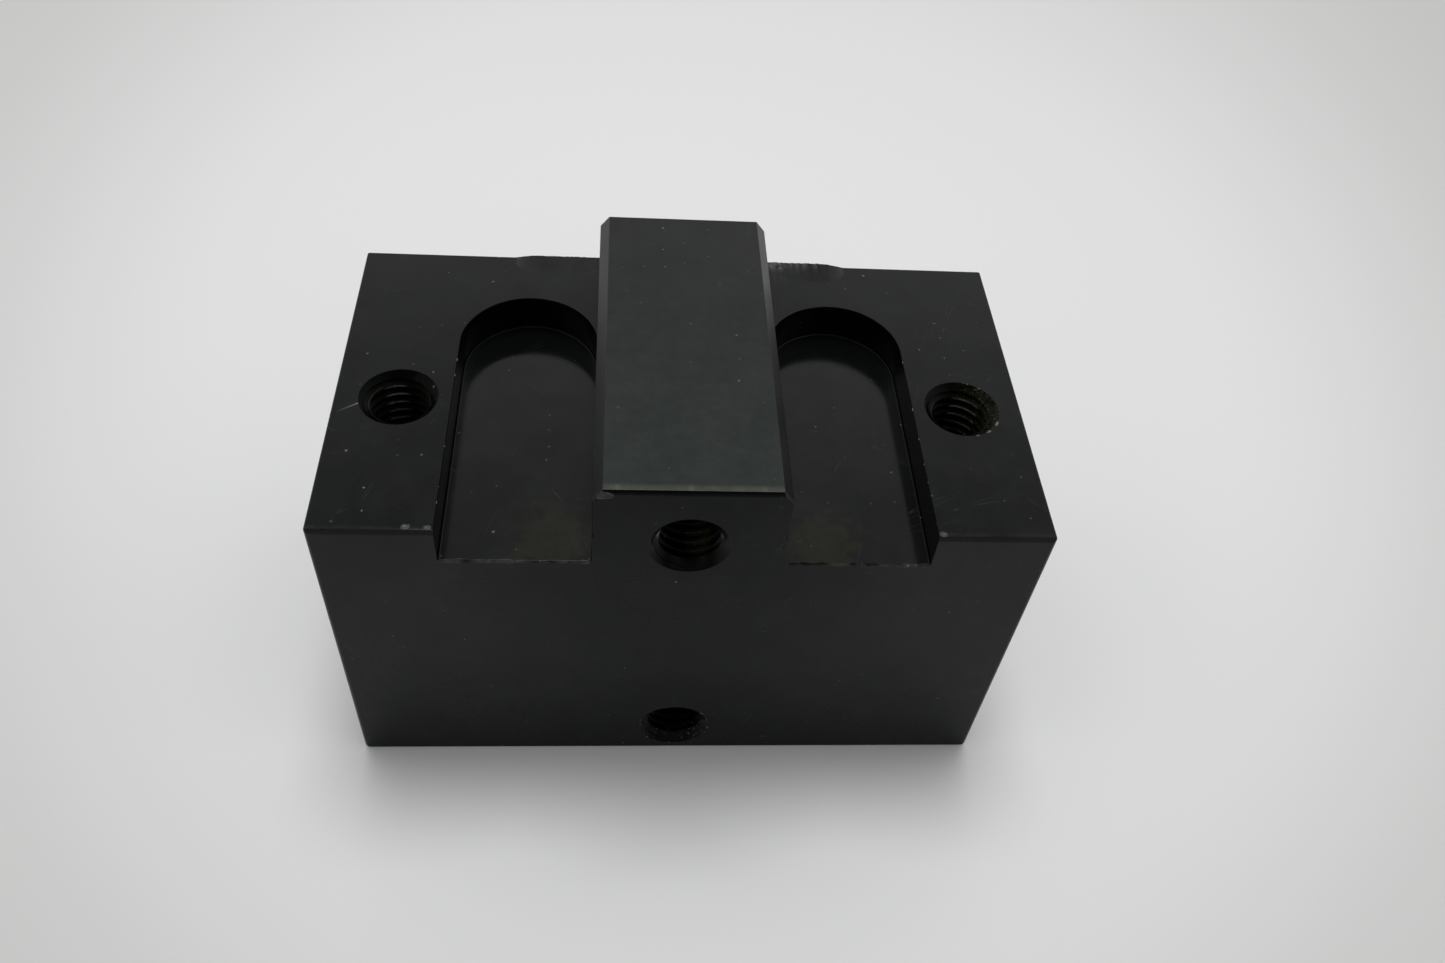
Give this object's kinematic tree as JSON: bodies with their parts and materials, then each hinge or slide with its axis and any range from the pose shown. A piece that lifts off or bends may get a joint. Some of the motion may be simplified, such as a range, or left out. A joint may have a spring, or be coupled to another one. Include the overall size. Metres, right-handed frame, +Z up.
{
  "type": "mounting block",
  "caption": "Small machined mounting block with a raised centre rib, round-ended pockets beside it, and tapped holes in its top lands and front face.",
  "frame": {"origin": "centre of the block's bottom face", "axes": "+X along the block's length to the right, +Y from the front face to the back, +Z up, towards the rib"},
  "size_m": [0.05, 0.0286, 0.0324],
  "materials": {
    "black_anodised_aluminium": "fine machined, satin black anodised"
  },
  "bodies": {
    "root": {"block_body": "black_anodised_aluminium"}
  },
  "joints": []
}
